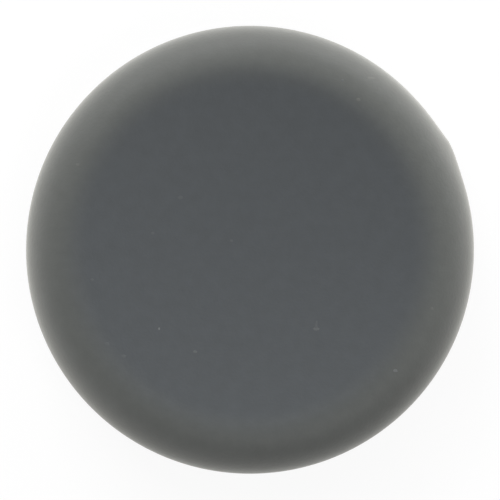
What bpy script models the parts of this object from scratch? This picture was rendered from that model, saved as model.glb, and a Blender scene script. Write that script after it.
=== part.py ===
# Thumbstick cap: the round pad under a player's thumb, moulded in one piece.
# All sizes are in metres. +Z points up out of the dish, and the origin is the centre of
# the flat rim that the cap rests on.

import math

import bmesh
import bpy

# Outer form, as the thumb and the eye meet it
CAP_DIAMETER = 0.0180
CAP_HEIGHT = 0.0045  # from the rim up to the crest that rings the dish
SHOULDER_RADIUS = 0.00175  # turns the crest over into the side
DISH_DEPTH = 0.00065  # how far the middle of the dish lies below the crest
LOWER_EDGE_RADIUS = 0.00045  # turns the side under into the rim

# Hollow underside
WALL = 0.0012  # thickness of the skirt, of the top, and of the roof over the socket
RIM_CHAMFER = 0.00015  # breaks the rim's inner edge

# Boss in the middle of the underside, with the socket for the stick's stem
BOSS_RECESS = 0.0003  # how far the boss stops short of the rim's plane
BOSS_WALL = 0.0011  # around the socket, where it is round
BOSS_ROOT_RADIUS = 0.0005  # fillet between boss and ceiling
BOSS_CHAMFER = 0.0002
SOCKET_DIAMETER = 0.0038
SOCKET_FLAT_DEPTH = 0.0005  # how far each of the two flats cuts into the round
SOCKET_LEAD_IN = 0.0002  # chamfer at the mouth, which guides the stem in

# The most of a wall that an edge's round or chamfer on it may take up, and the least
# that the round inside the shoulder keeps
EDGE_SHARE_OF_WALL = 0.40

# How finely the round shapes are cut
TURNS = 96  # facets round the axis
DISH_STEPS = 8
CREST_STEPS = 2  # from the dish's edge to the top of the crest
SHOULDER_STEPS = 12  # from the top of the crest to the side
EDGE_STEPS = 4
CEILING_STEPS = 4
SOCKET_STEPS = 16  # along each of the socket's two round sides
MERGE_DISTANCE = 0.000001
SHARP_ANGLE = math.radians(35)

CAP_COLOUR = (0.090, 0.100, 0.107, 1.0)
CAP_ROUGHNESS = 0.62


def edge_size(wanted, wall):
    """An edge's round or chamfer as wanted, or smaller where its wall is too thin."""
    return min(wanted, EDGE_SHARE_OF_WALL * wall)


# Radii and heights that follow from the sizes above
CAP_RADIUS = CAP_DIAMETER / 2
CREST_RADIUS = CAP_RADIUS - SHOULDER_RADIUS
DISH_FLOOR = CAP_HEIGHT - DISH_DEPTH
SKIRT_INNER_RADIUS = CAP_RADIUS - WALL
INNER_CORNER = max(SHOULDER_RADIUS - WALL, EDGE_SHARE_OF_WALL * WALL)
LOWER_EDGE = edge_size(LOWER_EDGE_RADIUS, WALL)
RIM_BREAK = edge_size(RIM_CHAMFER, WALL)
SOCKET_RADIUS = SOCKET_DIAMETER / 2
SOCKET_HALF_WIDTH = SOCKET_RADIUS - SOCKET_FLAT_DEPTH  # from the axis to a flat
SOCKET_ROOF = DISH_FLOOR - WALL
BOSS_RADIUS = SOCKET_RADIUS + BOSS_WALL
BOSS_BREAK = edge_size(BOSS_CHAMFER, BOSS_WALL)
BOSS_ROOT = edge_size(BOSS_ROOT_RADIUS, SOCKET_ROOF - BOSS_RECESS)
LEAD_IN = edge_size(SOCKET_LEAD_IN, BOSS_WALL)

# The dish is part of a large sphere that meets the shoulder's round without a corner.
# The ceiling under it belongs to a second sphere, one wall larger, with the same centre.
DISH_SPHERE = (
    CREST_RADIUS**2 + (SHOULDER_RADIUS - DISH_DEPTH) ** 2 - SHOULDER_RADIUS**2
) / (2 * DISH_DEPTH)
CEILING_SPHERE = DISH_SPHERE + WALL
SPHERE_CENTRE = DISH_FLOOR + DISH_SPHERE  # its height on the axis

OUTWARDS = 0.0
UP = math.radians(90)
INWARDS = math.radians(180)
DOWN = math.radians(-90)


def arc(centre, radius, start, end, steps):
    """Points on a round of the section, from one angle to another. 0 points outwards."""
    angles = [start + (end - start) * step / steps for step in range(steps + 1)]
    return [
        (centre[0] + radius * math.cos(a), centre[1] + radius * math.sin(a))
        for a in angles
    ]


def round_under_sphere(sphere, reach, radius):
    """Centre of a round that touches a sphere from below, and how far out it touches.

    The round's centre is reach from the axis. The second value is the contact's angle
    at the sphere's centre, measured from straight down.
    """
    distance = sphere + radius
    height = SPHERE_CENTRE - math.sqrt(distance**2 - reach**2)
    return (reach, height), math.asin(reach / distance)


def outside_section():
    """The section from the middle of the dish, over the crest and down to the rim."""
    crest, contact = round_under_sphere(DISH_SPHERE, CREST_RADIUS, SHOULDER_RADIUS)
    dish = arc((0, SPHERE_CENTRE), DISH_SPHERE, DOWN, DOWN + contact, DISH_STEPS)
    crest_rise = arc(crest, SHOULDER_RADIUS, UP + contact, UP, CREST_STEPS)
    shoulder = arc(crest, SHOULDER_RADIUS, UP, OUTWARDS, SHOULDER_STEPS)
    edge_centre = (CAP_RADIUS - LOWER_EDGE, LOWER_EDGE)
    lower_edge = arc(edge_centre, LOWER_EDGE, OUTWARDS, DOWN, EDGE_STEPS)
    return dish + crest_rise[1:] + shoulder[1:] + lower_edge


def hollow_section():
    """The section from the rim's inner edge, up the skirt and in along the ceiling."""
    rim_break = [(SKIRT_INNER_RADIUS + RIM_BREAK, 0), (SKIRT_INNER_RADIUS, RIM_BREAK)]
    corner, outer_contact = round_under_sphere(
        CEILING_SPHERE, SKIRT_INNER_RADIUS - INNER_CORNER, INNER_CORNER
    )
    root, inner_contact = round_under_sphere(
        CEILING_SPHERE, BOSS_RADIUS + BOSS_ROOT, BOSS_ROOT
    )
    skirt_round = arc(corner, INNER_CORNER, OUTWARDS, UP + outer_contact, EDGE_STEPS)
    ceiling = arc(
        (0, SPHERE_CENTRE),
        CEILING_SPHERE,
        DOWN + outer_contact,
        DOWN + inner_contact,
        CEILING_STEPS,
    )
    boss_round = arc(root, BOSS_ROOT, UP + inner_contact, INWARDS, EDGE_STEPS)
    return rim_break + skirt_round + ceiling[1:-1] + boss_round


def boss_section():
    """The section from the foot of the boss's wall in to the axis."""
    return [
        (BOSS_RADIUS, BOSS_RECESS + BOSS_BREAK),
        (BOSS_RADIUS - BOSS_BREAK, BOSS_RECESS),
        (0, BOSS_RECESS),
    ]


def turned_mesh(name, section):
    """The section turned once round the axis into a closed skin."""
    skin = bmesh.new()
    points = [skin.verts.new((radius, 0, height)) for radius, height in section]
    lines = [skin.edges.new(ends) for ends in zip(points, points[1:])]
    bmesh.ops.spin(
        skin,
        geom=points + lines,
        cent=(0, 0, 0),
        axis=(0, 0, 1),
        angle=2 * math.pi,
        steps=TURNS,
        use_merge=True,
    )
    bmesh.ops.remove_doubles(skin, verts=skin.verts, dist=MERGE_DISTANCE)
    bmesh.ops.recalc_face_normals(skin, faces=skin.faces)
    mesh = bpy.data.meshes.new(name)
    skin.to_mesh(mesh)
    skin.free()
    return mesh


def socket_outline(margin):
    """A round with two flats that face +X and -X, every side moved out by margin."""
    radius = SOCKET_RADIUS + margin
    corner = math.acos((SOCKET_HALF_WIDTH + margin) / radius)
    far_side = arc((0, 0), radius, corner, INWARDS - corner, SOCKET_STEPS)
    near_side = [(-x, -y) for x, y in far_side]
    return far_side + near_side


def socket_mesh(name):
    """The space that the socket takes out of the boss, with its lead-in at the mouth."""
    start = BOSS_RECESS - LEAD_IN  # a little under the boss, so that its mouth is cut clean
    levels = [
        (start, 2 * LEAD_IN),
        (BOSS_RECESS + LEAD_IN, 0),
        (SOCKET_ROOF, 0),
    ]
    tool = bmesh.new()
    rings = [
        [tool.verts.new((x, y, height)) for x, y in socket_outline(margin)]
        for height, margin in levels
    ]
    for lower, upper in zip(rings, rings[1:]):
        for i in range(len(lower)):
            tool.faces.new((lower[i - 1], lower[i], upper[i], upper[i - 1]))
    tool.faces.new(rings[0])
    tool.faces.new(rings[-1])
    bmesh.ops.recalc_face_normals(tool, faces=tool.faces)
    mesh = bpy.data.meshes.new(name)
    tool.to_mesh(mesh)
    tool.free()
    return mesh


def soft_grey():
    """The matt blue-grey of the moulding."""
    material = bpy.data.materials.new("soft_grey")
    material.use_nodes = True
    shader = material.node_tree.nodes["Principled BSDF"]
    shader.inputs["Base Color"].default_value = CAP_COLOUR
    shader.inputs["Roughness"].default_value = CAP_ROUGHNESS
    shader.inputs["Metallic"].default_value = 0.0
    material.diffuse_color = CAP_COLOUR
    return material


def placed(name, mesh):
    thing = bpy.data.objects.new(name, mesh)
    bpy.context.scene.collection.objects.link(thing)
    return thing


def build_cap():
    section = outside_section() + hollow_section() + boss_section()
    cap = placed("thumbstick_cap", turned_mesh("thumbstick_cap", section))
    cap.data.materials.append(soft_grey())
    cap.data.shade_smooth()
    cap.data.set_sharp_from_angle(angle=SHARP_ANGLE)

    tool = placed("socket_tool", socket_mesh("socket_tool"))
    tool.parent = cap
    tool.display_type = "WIRE"
    tool.hide_render = True

    socket = cap.modifiers.new("socket", "BOOLEAN")
    socket.operation = "DIFFERENCE"
    socket.solver = "EXACT"
    socket.object = tool
    return cap


def main():
    for thing in list(bpy.data.objects):
        bpy.data.objects.remove(thing)
    build_cap()


main()
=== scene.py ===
# Looks of the thumbstick cap. Metres, +Z up out of the dish, +Y towards the photograph's top.

import math
import random

import bmesh
import bpy
from mathutils import Matrix, Vector, noise


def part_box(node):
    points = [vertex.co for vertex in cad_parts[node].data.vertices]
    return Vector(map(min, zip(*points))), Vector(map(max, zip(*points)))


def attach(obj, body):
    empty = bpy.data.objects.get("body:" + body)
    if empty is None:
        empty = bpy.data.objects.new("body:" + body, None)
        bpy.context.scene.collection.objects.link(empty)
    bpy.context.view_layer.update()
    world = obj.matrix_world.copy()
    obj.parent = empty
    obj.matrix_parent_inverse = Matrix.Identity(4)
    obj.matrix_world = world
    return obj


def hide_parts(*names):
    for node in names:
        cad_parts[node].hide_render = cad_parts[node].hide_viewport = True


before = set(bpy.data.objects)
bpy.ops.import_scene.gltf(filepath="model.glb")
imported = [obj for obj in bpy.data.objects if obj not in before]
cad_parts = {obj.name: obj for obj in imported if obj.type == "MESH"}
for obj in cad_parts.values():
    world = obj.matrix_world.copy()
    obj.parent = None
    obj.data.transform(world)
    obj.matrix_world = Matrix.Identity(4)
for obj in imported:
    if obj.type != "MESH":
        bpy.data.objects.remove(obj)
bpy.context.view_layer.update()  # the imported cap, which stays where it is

mm = 0.001
cadNode = "thumbstick_cap"
boxLow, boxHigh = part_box(cadNode)
capRadius = (boxHigh[0] - boxLow[0]) / 2
capHeight = boxHigh[2] - boxLow[2]
print(f"frame loaded: the cap is {2 * capRadius / mm:.1f} mm across and {capHeight / mm:.1f} mm high")

# directions in the cap's section, as angles
outwards, upwards, inwards, downwards = 0.0, math.pi / 2, math.pi, -math.pi / 2


# small tools for the forms

def arc(centre, radius, start, end, steps):
    points = []
    for step in range(steps + 1):
        angle = start + (end - start) * step / steps
        points.append((centre[0] + radius * math.cos(angle), centre[1] + radius * math.sin(angle)))
    return points


def roundedCorner(before, corner, after, radius, steps):
    # a small round in place of the corner, which touches both of its lines
    a, b, c = Vector(before), Vector(corner), Vector(after)
    inDir, outDir = (a - b).normalized(), (c - b).normalized()
    half = math.acos(max(-1, min(1, inDir.dot(outDir)))) / 2
    centre = b + (inDir + outDir).normalized() * (radius / math.sin(half))
    first = b + inDir * (radius / math.tan(half)) - centre
    last = b + outDir * (radius / math.tan(half)) - centre
    sweep = first.angle_signed(last)
    points = []
    for step in range(steps + 1):
        turned = Matrix.Rotation(-sweep * step / steps, 2) @ first
        points.append(tuple(centre + turned))
    return points


def roundUnder(sphere, middle, reach, radius):
    # height of the centre of a round that touches a sphere from below, and the angle of the touch
    away = sphere + radius
    return middle - math.sqrt(away**2 - reach**2), math.asin(reach / away)


def softStep(value, low, high):
    # 0 up to low, 1 from high on, and a soft passage between them
    t = max(0.0, min(1.0, (value - low) / (high - low)))
    return t * t * (3 - 2 * t)


def addPiece(name, bm, materials):
    mesh = bpy.data.meshes.new(name)
    bm.to_mesh(mesh)
    bm.free()
    mesh.shade_smooth()
    for material in materials:
        mesh.materials.append(material)
    piece = bpy.data.objects.new(name, mesh)
    bpy.context.scene.collection.objects.link(piece)
    return piece


# the moulded cap

capForm = {
    "shoulderRadius": 1.75 * mm,  # turns the crest over into the side
    "dishDepth": 0.65 * mm,
    "lowerEdge": 0.45 * mm,
    "wall": 1.20 * mm,
    "leastCorner": 0.40,  # least round inside the shoulder, as a share of the wall
    "rimChamfer": 0.15 * mm,
    "bossRecess": 0.30 * mm,
    "bossWall": 1.10 * mm,
    "bossRoot": 0.50 * mm,
    "bossChamfer": 0.20 * mm,
    "socketDiameter": 3.80 * mm,
    "socketFlatDepth": 0.50 * mm,
    "socketLeadIn": 0.20 * mm,
    "socketCrispness": 70,  # how sharply the socket's flats meet its round
    "edgeBreak": 0.05 * mm,  # the mould's own small radius on the chamfers' edges
    "gateMark": {  # the stub where the moulding was cut from its sprue
        "azimuth": 28.7,  # degrees from +X towards +Y
        "proud": 0.100 * mm,
        "back": (0.58 * mm, 0.95),  # how far it reaches behind its crest, and how bluntly it ends
        "front": (0.98 * mm, 2.20),
        "low": 0.5 * mm,
        "high": 3.7 * mm,
        "rise": 0.8 * mm,  # grows to its full depth over this height
        "fade": 1.2 * mm,  # and dies away over this one
    },
    "turns": 400,
    "dishRings": 34,
    "shoulderRings": 36,
    "sideRings": 14,
    "fineSteps": 8,
    "breakSteps": 3,
}


def dishSphere(form):
    # radius of the large sphere that the dish is part of, and height of its middle
    rho, depth = form["shoulderRadius"], form["dishDepth"]
    radius = ((capRadius - rho) ** 2 + (rho - depth) ** 2 - rho**2) / (2 * depth)
    return radius, capHeight - depth + radius


def outsideSection(form):
    # from the middle of the dish, over the crest and down to the rim
    rho, edge = form["shoulderRadius"], form["lowerEdge"]
    crestRadius, sideTop = capRadius - rho, capHeight - rho
    sphere, middle = dishSphere(form)
    contact = math.asin(crestRadius / (sphere + rho))
    dish = arc((0, middle), sphere, downwards, downwards + contact, form["dishRings"])
    shoulder = arc((crestRadius, sideTop), rho, upwards + contact, outwards, form["shoulderRings"])
    side = []
    for step in range(1, form["sideRings"]):
        side.append((capRadius, sideTop + (edge - sideTop) * step / form["sideRings"]))
    foot = arc((capRadius - edge, edge), edge, outwards, downwards, form["fineSteps"])
    return dish + shoulder[1:] + side + foot


def undersideSection(form):
    # from the rim's inner edge, up the skirt, in along the ceiling and down the boss
    wall, small = form["wall"], form["edgeBreak"]
    fine, few = form["fineSteps"], form["breakSteps"]
    sphere, middle = dishSphere(form)
    ceiling = sphere + wall

    skirt, chamfer = capRadius - wall, form["rimChamfer"]
    corner = max(form["shoulderRadius"] - wall, form["leastCorner"] * wall)
    cornerTop, outerTouch = roundUnder(ceiling, middle, skirt - corner, corner)
    rimIn, skirtFoot = (skirt + chamfer, 0), (skirt, chamfer)
    points = roundedCorner((capRadius - form["lowerEdge"], 0), rimIn, skirtFoot, small, few)
    points += roundedCorner(rimIn, skirtFoot, (skirt, cornerTop), small, few)
    points += arc((skirt - corner, cornerTop), corner, outwards, upwards + outerTouch, fine)

    boss, root = form["socketDiameter"] / 2 + form["bossWall"], form["bossRoot"]
    rootTop, innerTouch = roundUnder(ceiling, middle, boss + root, root)
    points += arc((0, middle), ceiling, downwards + outerTouch, downwards + innerTouch, fine)[1:-1]
    points += arc((boss + root, rootTop), root, upwards + innerTouch, inwards, fine)

    foot, cut = form["bossRecess"], form["bossChamfer"]
    wallFoot, endEdge = (boss, foot + cut), (boss - cut, foot)
    points += roundedCorner((boss, rootTop), wallFoot, endEdge, small, few)
    points += roundedCorner(wallFoot, endEdge, (0, foot), small, few)
    return points


def socketSection(form):
    # how far each ring stands off the socket's outline, and its height
    foot, leadIn = form["bossRecess"], form["socketLeadIn"]
    roof = capHeight - form["dishDepth"] - form["wall"]
    small, few = form["edgeBreak"], form["breakSteps"]
    mouth, throat = (leadIn, foot), (0, foot + leadIn)
    rings = roundedCorner((form["bossWall"], foot), mouth, throat, small, few)
    rings += roundedCorner(mouth, throat, (0, roof), small, few)
    rings += roundedCorner(throat, (0, roof), (-leadIn, roof), small, few)
    return rings


def socketRadius(form, azimuth, standOff):
    # a round with two flats that face +X and -X, its corners a little soft
    crisp = form["socketCrispness"]
    roundPart = form["socketDiameter"] / 2 + standOff
    flatPart = roundPart - form["socketFlatDepth"]
    return (roundPart**-crisp + (abs(math.cos(azimuth)) / flatPart) ** crisp) ** (-1 / crisp)


def gateSwelling(mark, azimuth, height):
    # how far the gate's stub stands proud of the round cap at this place
    away = (azimuth - math.radians(mark["azimuth"]) + math.pi) % (2 * math.pi) - math.pi
    reach, bluntness = mark["back"] if away > 0 else mark["front"]
    across = math.exp(-(abs(away) * capRadius / reach) ** bluntness)
    rise = softStep(height, mark["low"], mark["low"] + mark["rise"])
    fade = 1 - softStep(height, mark["high"] - mark["fade"], mark["high"])
    return mark["proud"] * across * rise * fade


def addRing(bm, azimuths, radii, height):
    ring = []
    for azimuth, radius in zip(azimuths, radii):
        ring.append(bm.verts.new((radius * math.cos(azimuth), radius * math.sin(azimuth), height)))
    return ring


def turnCap(form):
    bm = bmesh.new()
    turns, mark = form["turns"], form["gateMark"]
    azimuths = [2 * math.pi * i / turns for i in range(turns)]
    section = outsideSection(form) + undersideSection(form)
    rings = []
    for radius, height in section[1:]:  # the first point is the middle of the dish, on the axis
        swells = radius > capRadius - form["shoulderRadius"]
        radii = [radius + (gateSwelling(mark, azimuth, height) if swells else 0) for azimuth in azimuths]
        rings.append(addRing(bm, azimuths, radii, height))
    for standOff, height in socketSection(form):
        radii = [socketRadius(form, azimuth, standOff) for azimuth in azimuths]
        rings.append(addRing(bm, azimuths, radii, height))
    for upper, lower in zip(rings, rings[1:]):
        for i in range(turns):
            j = (i + 1) % turns
            bm.faces.new((upper[i], lower[i], lower[j], upper[j]))
    dishMiddle = bm.verts.new((0, 0, section[0][1]))
    for i in range(turns):
        bm.faces.new((dishMiddle, rings[0][i], rings[0][(i + 1) % turns]))
    bm.faces.new(list(reversed(rings[-1])))
    bmesh.ops.recalc_face_normals(bm, faces=bm.faces)
    return bm


# small tools for the finishes

def addNoise(tree, size, detail):
    place = tree.nodes.new("ShaderNodeTexCoord")
    made = tree.nodes.new("ShaderNodeTexNoise")
    made.inputs["Scale"].default_value = 1 / size
    made.inputs["Detail"].default_value = detail
    tree.links.new(place.outputs["Object"], made.inputs["Vector"])
    return made.outputs["Fac"]


def spread(tree, value, low, high):
    # turns 0 to 1 into low to high
    made = tree.nodes.new("ShaderNodeMapRange")
    made.inputs["To Min"].default_value = low
    made.inputs["To Max"].default_value = high
    tree.links.new(value, made.inputs["Value"])
    return made.outputs["Result"]


def blendTones(tree, share, first, second):
    # sockets 6 and 7 are the Mix node's two colours, and its output 2 is the colour between them
    made = tree.nodes.new("ShaderNodeMix")
    made.data_type = "RGBA"
    made.inputs[6].default_value = (*first, 1)
    made.inputs[7].default_value = (*second, 1)
    tree.links.new(share, made.inputs[0])
    return made.outputs[2]


def addBump(tree, height, depth, under=None):
    made = tree.nodes.new("ShaderNodeBump")
    made.inputs["Distance"].default_value = depth
    tree.links.new(height, made.inputs["Height"])
    if under:
        tree.links.new(under, made.inputs["Normal"])
    return made.outputs["Normal"]


# the cap's finish

softGrey = {
    "dish": (0.0516, 0.0599, 0.0686),  # a little blue, and darker than the shoulder tone, which is painted paler
    # painted light: the shoulder tone is paler and less blue than the dish tone, standing in for the
    # stronger light on the rounds
    "shoulder": (0.0825, 0.0888, 0.0870),
    "paintedLightStart": 6.43 * mm,  # radii between which the dish tone turns into the paler shoulder tone, which is painted light
    "paintedLightEnd": 7.83 * mm,
    "mottle": 0.12,  # how far the tone wanders, as a share
    "mottleSize": 0.5 * mm,
    "mottleDetail": 4,
    "mottleDepth": 0.004 * mm,  # the slight unevenness of the moulded skin
    "roughness": (0.34, 0.46),
    "mirror": 0.075,  # how much of the light comes off the surface like a dull mirror
    "chalk": 1.0,  # evens the light out over the round parts
    "velvet": 0.53,  # the pale bloom at grazing angles
    "velvetTone": (1.0, 0.981, 0.908),
    "velvetSpread": 0.60,
    "grainSize": 0.12 * mm,
    "grainDetail": 2,
    "grainDepth": 0.006 * mm,
}


def softSkin(name, velvet):
    # the matt, velvety ground of the cap's finish, and of the dust that lies in it
    material = bpy.data.materials.new(name)
    material.use_nodes = True
    shader = material.node_tree.nodes["Principled BSDF"]
    shader.inputs["Specular IOR Level"].default_value = softGrey["mirror"]
    shader.inputs["Diffuse Roughness"].default_value = softGrey["chalk"]
    shader.inputs["Sheen Weight"].default_value = velvet
    shader.inputs["Sheen Tint"].default_value = (*softGrey["velvetTone"], 1)
    shader.inputs["Sheen Roughness"].default_value = softGrey["velvetSpread"]
    return material, shader


def distanceFromAxis(tree):
    place = tree.nodes.new("ShaderNodeTexCoord")
    flat = tree.nodes.new("ShaderNodeVectorMath")
    flat.operation = "MULTIPLY"
    flat.inputs[1].default_value = (1, 1, 0)
    reach = tree.nodes.new("ShaderNodeVectorMath")
    reach.operation = "LENGTH"
    tree.links.new(place.outputs["Object"], flat.inputs[0])
    tree.links.new(flat.outputs[0], reach.inputs[0])
    return reach.outputs["Value"]


def makeSoftGrey(look):
    material, shader = softSkin("softGreyMoulding", look["velvet"])
    tree = material.node_tree
    mottle = addNoise(tree, look["mottleSize"], look["mottleDetail"])
    grain = addNoise(tree, look["grainSize"], look["grainDetail"])

    # painted light: by distance from the axis, the dish tone turns into the paler shoulder tone
    paintedLightTurn = tree.nodes.new("ShaderNodeMapRange")
    paintedLightTurn.interpolation_type = "SMOOTHSTEP"
    paintedLightTurn.inputs["From Min"].default_value = look["paintedLightStart"]
    paintedLightTurn.inputs["From Max"].default_value = look["paintedLightEnd"]
    tree.links.new(distanceFromAxis(tree), paintedLightTurn.inputs["Value"])
    tone = blendTones(tree, paintedLightTurn.outputs["Result"], look["dish"], look["shoulder"])
    wander = spread(tree, mottle, 1 - look["mottle"], 1 + look["mottle"])
    varied = tree.nodes.new("ShaderNodeVectorMath")
    varied.operation = "SCALE"
    tree.links.new(tone, varied.inputs[0])
    tree.links.new(wander, varied.inputs["Scale"])
    tree.links.new(varied.outputs[0], shader.inputs["Base Color"])

    tree.links.new(spread(tree, grain, *look["roughness"]), shader.inputs["Roughness"])
    uneven = addBump(tree, mottle, look["mottleDepth"])
    tree.links.new(addBump(tree, grain, look["grainDepth"], uneven), shader.inputs["Normal"])
    material.diffuse_color = (*look["dish"], 1)
    return material


cap = addPiece("mouldedCap", turnCap(capForm), [makeSoftGrey(softGrey)])
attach(cap, "root")
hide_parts(cadNode)
print(f"cap turned: {len(cap.data.polygons)} faces")


# dust and lint that lie on the cap

dust = {
    "grains": {
        # name: (right of the middle, back of the middle, width, depth, tone), in millimetres
        "brightGrain": (-3.64, -3.16, 0.095, 0.115, "pale"),
        "frontRightGrain": (5.81, -4.84, 0.195, 0.140, "pale"),
        "backRightGrain": (4.33, 6.01, 0.185, 0.150, "shoulder"),
        "leftGrain": (-2.79, 2.09, 0.240, 0.160, "faint"),
        "leftLowerGrain": (-3.90, 0.66, 0.140, 0.130, "faint"),
        "leftCrestGrain": (-6.89, 3.40, 0.155, 0.130, "shoulder"),
        "frontGrain": (-2.20, -4.08, 0.180, 0.140, "middle"),
        "frontLeftGrain": (-5.73, -3.77, 0.235, 0.165, "faint"),
        "frontLeftInnerGrain": (-5.06, -4.26, 0.230, 0.145, "faint"),
        "middleGrain": (-0.75, 0.36, 0.140, 0.120, "faint"),
        "farLeftGrain": (-6.32, -1.20, 0.150, 0.120, "faint"),
        "rightCrestGrain": (7.28, -2.35, 0.140, 0.110, "shoulder"),
        "backCrestGrain": (3.70, 6.77, 0.125, 0.125, "middle"),
    },
    "threads": {
        # name: (width at its first end, width at its last end, points, tone), in millimetres
        "lintPlume": (0.150, 0.060, [(2.64, -3.17), (2.65, -3.02), (2.68, -2.86)], "faint"),
        "lintFoot": (0.130, 0.120, [(2.53, -3.16), (2.64, -3.18), (2.77, -3.17)], "middle"),
        "shoulderHair": (0.110, 0.095, [(4.69, 6.89), (4.82, 6.88), (4.98, 6.87)], "hair"),
    },
    "tones": {
        "faint": (0.069, 0.077, 0.084),
        "middle": (0.086, 0.094, 0.100),
        "shoulder": (0.107, 0.112, 0.108),  # a little paler than the shoulder tone that it lies on, so it carries that tone's painted light
        "hair": (0.118, 0.123, 0.119),
        "pale": (0.128, 0.136, 0.140),
    },
    "toneWander": 0.10,  # how far a tone wanders, as a share
    "bloom": 0.53,  # pale at grazing angles, as the cap is
    "flatness": 0.11,  # height of a grain or thread, as a share of its width
    "sunk": 0.75,  # share of its height that lies in the finish, so that a low lens of it shows
    "grainSplits": 3,  # how often a grain's faces are split
    "uneven": 0.20,  # how far a grain's outline wanders, as a share of its size
    "bulges": 3,  # roughly how many of them there are across it
    "bulgeChoice": 50,  # how wide a stretch of noise each grain picks its own bulges from
    "threadSides": 24,
    "threadSteps": 14,
    "endWidth": 0.35,  # width of a thread's two ends, as a share
    "endGrowth": 4,  # how fast it gains its full width from there
    "widthWander": 0.15,
    "lumpSize": 0.03 * mm,
    "lumpDetail": 2,
    "lumpDepth": 0.001 * mm,
    "roughness": (0.80, 1.00),
    "seed": 11,
}


def topHeight(x, y):
    # height of the cap's upper surface
    radius = math.hypot(x, y)
    rho = capForm["shoulderRadius"]
    crestRadius = capRadius - rho
    sphere, middle = dishSphere(capForm)
    if radius < crestRadius * sphere / (sphere + rho):
        return middle - math.sqrt(sphere**2 - radius**2)
    return capHeight - rho + math.sqrt(rho**2 - (radius - crestRadius) ** 2)


def addGrain(bm, look, x, y, width, depth, tone, chance):
    # a flat grain that follows the surface it lies on, made from a ball one unit across
    made = bmesh.ops.create_icosphere(bm, subdivisions=look["grainSplits"], radius=0.5)["verts"]
    for face in {face for vert in made for face in vert.link_faces}:
        face.material_index = tone
    tall = min(width, depth) * look["flatness"]
    own = Vector((chance.uniform(0, look["bulgeChoice"]), chance.uniform(0, look["bulgeChoice"]), 0))
    for vert in made:
        bulge = noise.noise(vert.co * look["bulges"] + own)
        shaped = vert.co * (1 + look["uneven"] * bulge)
        atX, atY = x + shaped.x * width, y + shaped.y * depth
        vert.co = (atX, atY, topHeight(atX, atY) + tall * (shaped.z + 0.5 - look["sunk"]))


def addThread(bm, look, firstWidth, lastWidth, points, tone, chance):
    # a bent thread or flake, its two ends drawn in
    sides, steps, wander = look["threadSides"], look["threadSteps"], look["widthWander"]
    rings = []
    for step in range(steps + 1):
        share = step / steps
        t = share * (len(points) - 1)
        i = min(int(t), len(points) - 2)
        a, b = Vector(points[i]), Vector(points[i + 1])
        here, along = a.lerp(b, t - i), (b - a).normalized()
        drawnIn = min(1, look["endWidth"] + look["endGrowth"] * min(share, 1 - share))
        width = (firstWidth + (lastWidth - firstWidth) * share) * drawnIn
        width *= chance.uniform(1 - wander, 1 + wander)
        sideways = Vector((-along.y, along.x))
        ring = []
        for side in range(sides):
            angle = 2 * math.pi * side / sides
            at = here + sideways * (width / 2 * math.cos(angle))
            rise = width * look["flatness"] * (math.sin(angle) / 2 + 0.5 - look["sunk"])
            ring.append(bm.verts.new((at.x, at.y, topHeight(at.x, at.y) + rise)))
        rings.append(ring)
    made = []
    for first, second in zip(rings, rings[1:]):
        for i in range(sides):
            j = (i + 1) % sides
            made.append(bm.faces.new((first[i], first[j], second[j], second[i])))
    made.append(bm.faces.new(list(reversed(rings[0]))))
    made.append(bm.faces.new(rings[-1]))
    for face in made:
        face.material_index = tone


def makeDust(name, look, dustTone):
    material, shader = softSkin(name, look["bloom"])
    tree = material.node_tree
    lumps = addNoise(tree, look["lumpSize"], look["lumpDetail"])
    darker = [c * (1 - look["toneWander"]) for c in dustTone]
    paler = [c * (1 + look["toneWander"]) for c in dustTone]
    tree.links.new(blendTones(tree, lumps, darker, paler), shader.inputs["Base Color"])
    tree.links.new(spread(tree, lumps, *look["roughness"]), shader.inputs["Roughness"])
    tree.links.new(addBump(tree, lumps, look["lumpDepth"]), shader.inputs["Normal"])
    material.diffuse_color = (*dustTone, 1)
    return material


def makeSpecks(look):
    chance = random.Random(look["seed"])
    tones = list(look["tones"])  # a speck's tone is its place in this list
    bm = bmesh.new()
    for x, y, width, depth, tone in look["grains"].values():
        addGrain(bm, look, x * mm, y * mm, width * mm, depth * mm, tones.index(tone), chance)
    for firstWidth, lastWidth, route, tone in look["threads"].values():
        points = [(x * mm, y * mm) for x, y in route]
        addThread(bm, look, firstWidth * mm, lastWidth * mm, points, tones.index(tone), chance)
    bmesh.ops.recalc_face_normals(bm, faces=bm.faces)
    materials = [makeDust(tone + "Dust", look, look["tones"][tone]) for tone in tones]
    return addPiece("dustSpecks", bm, materials)


specks = makeSpecks(dust)
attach(specks, "root")
print(f"dust laid: {len(dust['grains'])} grains and {len(dust['threads'])} threads")


# floor, light and camera

studio = {
    "floorSize": 4.0,
    "floorColour": (0.95, 0.95, 0.95),
    "floorWhite": 0.90,  # how much of the floor's look is plain white; the rest takes the shadow
    "fill": 0.30,  # strength of the even light from all round
}

softboxes = {
    # name: (azimuth, elevation, distance, width, height, glow), in degrees and metres
    # azimuth 0 is +X and 90 is +Y; glow 1 is as bright as white paper
    "lowRight": (30, 14.5, 0.62, 0.40, 0.30, 1.23),
    "lowBackRight": (60, 14.5, 0.62, 0.40, 0.30, 5.42),
    "lowBack": (90, 14.5, 0.62, 0.40, 0.30, 3.72),
    "midBack": (115, 30, 0.60, 0.40, 0.40, 5.40),
    "highBack": (120, 55, 0.60, 0.40, 0.40, 1.06),
    "highFront": (300, 55, 0.60, 0.40, 0.40, 2.42),
}

lens = {
    "focalLength": 700.0,  # long, so that the view is almost flat
    "capInPhoto": 448.0,  # pixels across the cap
    "photoWidth": 500.0,
    "sensor": 36.0,
    "aside": (0.0 * mm, -0.010 * mm),  # the cap stands a quarter of a pixel above the photograph's middle
    "clipReach": 10,  # sees from a tenth of its distance to ten times it
}


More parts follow.
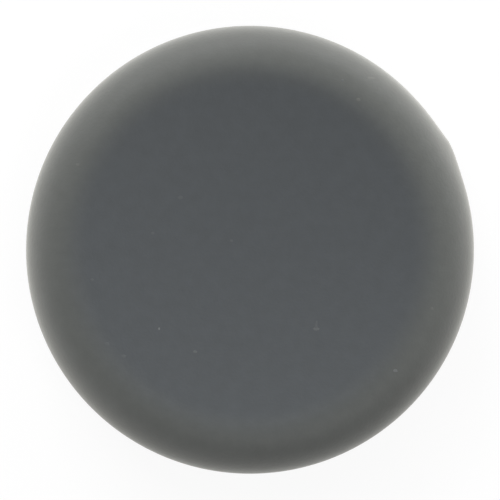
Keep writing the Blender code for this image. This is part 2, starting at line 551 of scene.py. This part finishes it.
def seenByEye(tree):
    # 1 for the rays that show the background: camera, mirror-like and through glass
    rays = tree.nodes.new("ShaderNodeLightPath")
    first = tree.nodes.new("ShaderNodeMath")
    first.operation = "MAXIMUM"
    tree.links.new(rays.outputs["Is Camera Ray"], first.inputs[0])
    tree.links.new(rays.outputs["Is Glossy Ray"], first.inputs[1])
    second = tree.nodes.new("ShaderNodeMath")
    second.operation = "MAXIMUM"
    tree.links.new(first.outputs[0], second.inputs[0])
    tree.links.new(rays.outputs["Is Transmission Ray"], second.inputs[1])
    return second.outputs[0]


def makeFloor(look):
    bm = bmesh.new()
    bmesh.ops.create_grid(bm, x_segments=1, y_segments=1, size=look["floorSize"] / 2)
    material = bpy.data.materials.new("paleFloor")
    material.use_nodes = True
    tree = material.node_tree
    tree.nodes.clear()
    matt = tree.nodes.new("ShaderNodeBsdfDiffuse")
    matt.inputs["Color"].default_value = (*look["floorColour"], 1)
    white = tree.nodes.new("ShaderNodeEmission")
    white.inputs["Strength"].default_value = 1
    share = tree.nodes.new("ShaderNodeMath")
    share.operation = "MULTIPLY"
    share.inputs[1].default_value = look["floorWhite"]
    tree.links.new(seenByEye(tree), share.inputs[0])
    mix = tree.nodes.new("ShaderNodeMixShader")
    tree.links.new(share.outputs[0], mix.inputs[0])
    tree.links.new(matt.outputs[0], mix.inputs[1])
    tree.links.new(white.outputs[0], mix.inputs[2])
    out = tree.nodes.new("ShaderNodeOutputMaterial")
    tree.links.new(mix.outputs[0], out.inputs["Surface"])
    floor = addPiece("floor", bm, [material])


def makeWorld(look):
    world = bpy.data.worlds.new("studioAir")
    world.use_nodes = True
    tree = world.node_tree
    tree.nodes.clear()
    fill = tree.nodes.new("ShaderNodeBackground")
    fill.inputs["Strength"].default_value = look["fill"]
    white = tree.nodes.new("ShaderNodeBackground")
    mix = tree.nodes.new("ShaderNodeMixShader")
    out = tree.nodes.new("ShaderNodeOutputWorld")
    for node in (fill, white):
        node.inputs["Color"].default_value = (1, 1, 1, 1)
    tree.links.new(seenByEye(tree), mix.inputs[0])
    tree.links.new(fill.outputs[0], mix.inputs[1])
    tree.links.new(white.outputs[0], mix.inputs[2])
    tree.links.new(mix.outputs[0], out.inputs["Surface"])
    bpy.context.scene.world = world


def makeSoftbox(name, azimuth, elevation, distance, width, height, glow):
    a, e = math.radians(azimuth), math.radians(elevation)
    towards = Vector((math.cos(a) * math.cos(e), math.sin(a) * math.cos(e), math.sin(e)))
    light = bpy.data.lights.new(name, "AREA")
    light.shape = "RECTANGLE"
    light.size, light.size_y = width, height
    light.energy = glow * math.pi * width * height
    box = bpy.data.objects.new(name, light)
    box.location = towards * distance
    box.rotation_euler = towards.to_track_quat("Z", "Y").to_euler()
    box.visible_camera = False
    bpy.context.scene.collection.objects.link(box)


def makeCamera(look):
    data = bpy.data.cameras.new("overheadCamera")
    data.sensor_width = look["sensor"]
    data.lens = look["focalLength"]
    viewWidth = 2 * capRadius * look["photoWidth"] / look["capInPhoto"]
    distance = viewWidth * look["focalLength"] / look["sensor"]
    camera = bpy.data.objects.new("overheadCamera", data)
    girth = capHeight - capForm["shoulderRadius"]  # height at which the cap is widest
    camera.location = (*look["aside"], girth + distance)
    data.clip_start, data.clip_end = distance / look["clipReach"], distance * look["clipReach"]
    bpy.context.scene.collection.objects.link(camera)
    bpy.context.scene.camera = camera


makeFloor(studio)
makeWorld(studio)
for name, values in softboxes.items():
    makeSoftbox(name, *values)
makeCamera(lens)
bpy.context.scene.view_settings.view_transform = "Standard"
print("floor, light and camera set")
